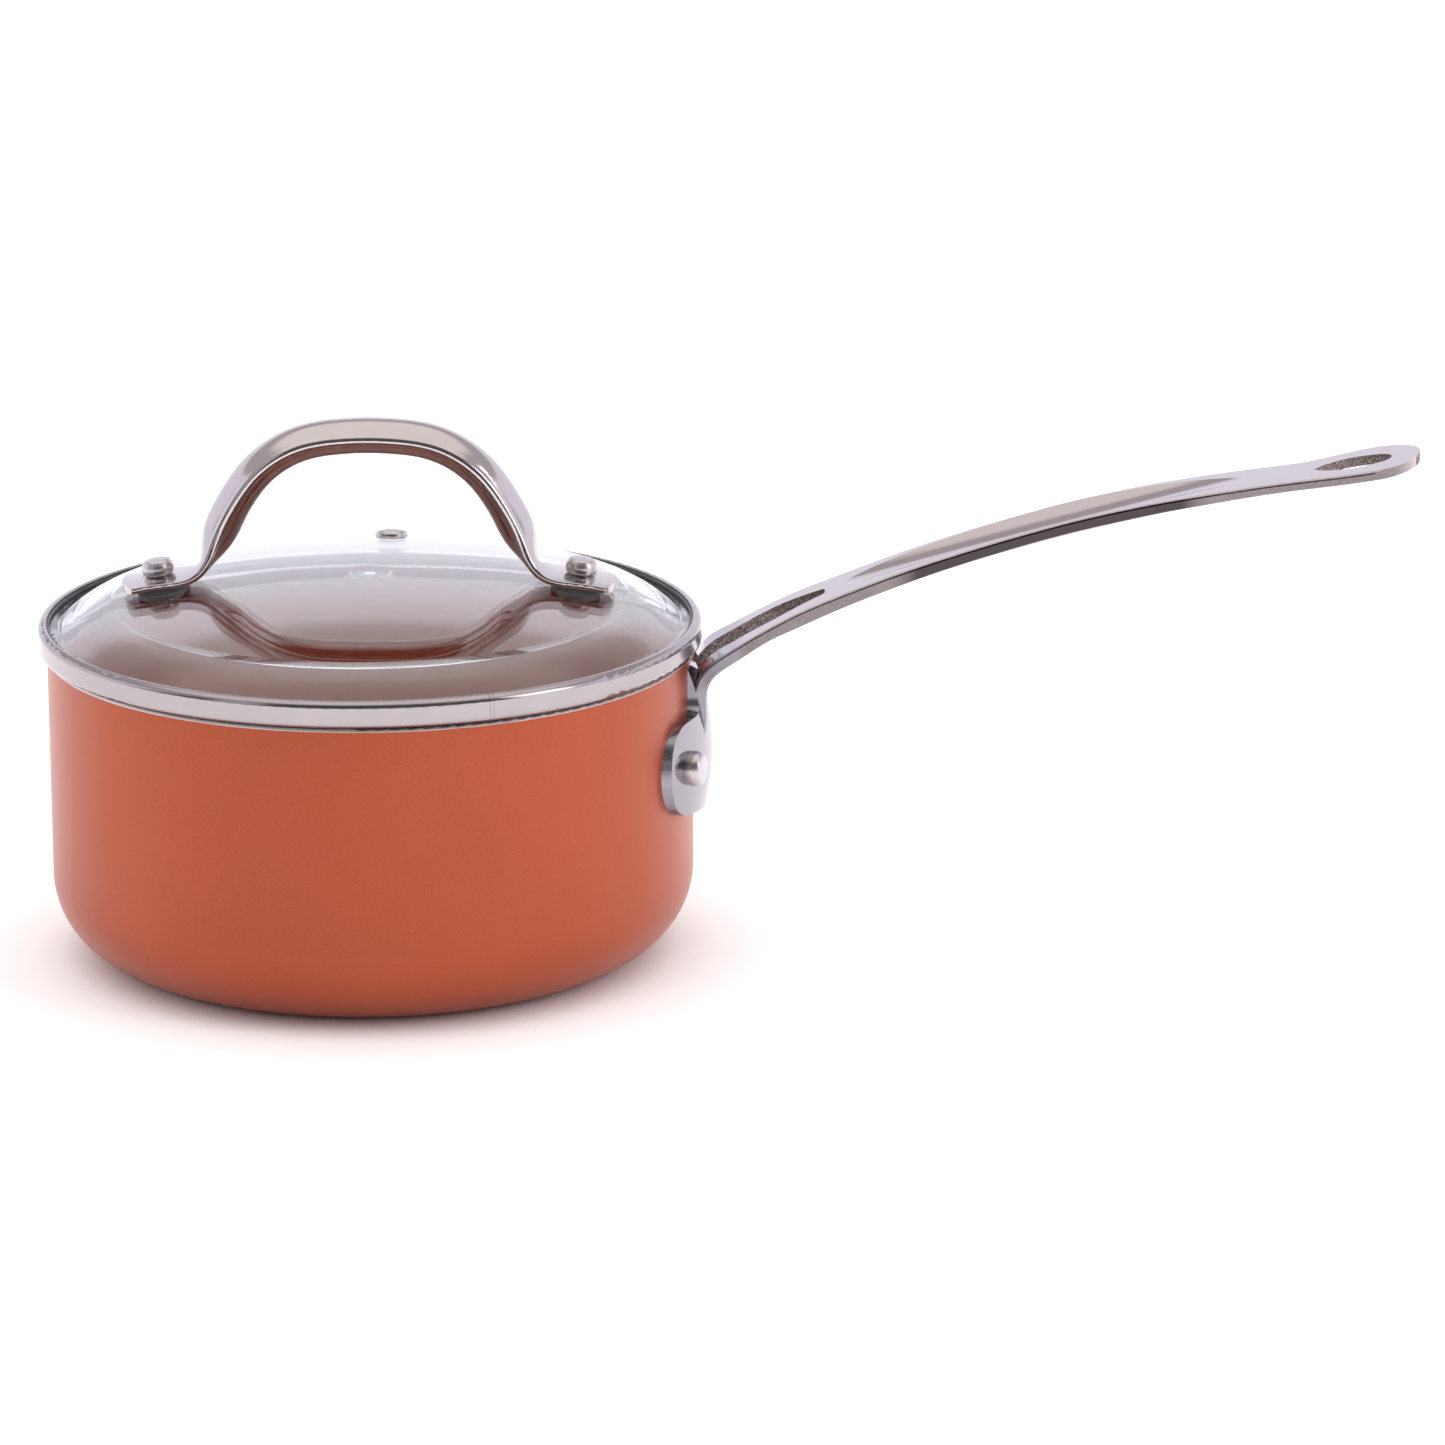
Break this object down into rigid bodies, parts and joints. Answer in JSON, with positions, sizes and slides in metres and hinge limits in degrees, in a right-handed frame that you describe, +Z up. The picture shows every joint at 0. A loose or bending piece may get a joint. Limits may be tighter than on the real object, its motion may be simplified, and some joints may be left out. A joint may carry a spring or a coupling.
{
  "type": "saucepan with lid",
  "caption": "Small straight-sided saucepan with a long riveted handle and a lift-off domed glass lid with a steel rim, arched handle and steam vent.",
  "frame": {"origin": "on the pan's axis at the middle of its underside", "axes": "+Z up, +X along the long handle away from the pan"},
  "size_m": [0.3517, 0.1694, 0.1383],
  "materials": {
    "copper_paint": "satin metallic copper coating outside, brown-copper ceramic non-stick inside, bare machined aluminium on the rim",
    "induction_steel": "turned, with shallow concentric grooves",
    "cast_steel": "mirror-polished faces, satin sides, as-cast inside the slot and the hanging eye",
    "polished_steel": "polished sheet, with a butt-welded seam",
    "handle_steel": "mirror-polished",
    "rivet_steel": "satin, slightly grainy",
    "tempered_glass": "clear, polished",
    "black_silicone": "matt",
    "clear_silicone": "translucent, matt"
  },
  "bodies": {
    "pan": {"pan_body": "copper_paint", "base_disc": "induction_steel", "long_handle": "cast_steel", "handle_rivet_front": "rivet_steel", "handle_rivet_rear": "rivet_steel"},
    "lid": {"lid_ring": "polished_steel", "lid_seal": "black_silicone", "lid_glass": "tempered_glass", "lid_handle": "handle_steel", "lid_handle_gasket_left": "black_silicone", "lid_handle_gasket_right": "black_silicone", "lid_lower_gasket_left": "clear_silicone", "lid_lower_gasket_right": "clear_silicone", "lid_washer_left": "rivet_steel", "lid_washer_right": "rivet_steel", "lid_rivet_left": "rivet_steel", "lid_rivet_right": "rivet_steel", "vent_eyelet": "rivet_steel", "vent_washer": "rivet_steel"}
  },
  "joints": [
    {"name": "lid_lift", "type": "slide", "parent": "pan", "child": "lid", "axis": [0, 0, 1], "range_m": [0, 0.12]}
  ]
}
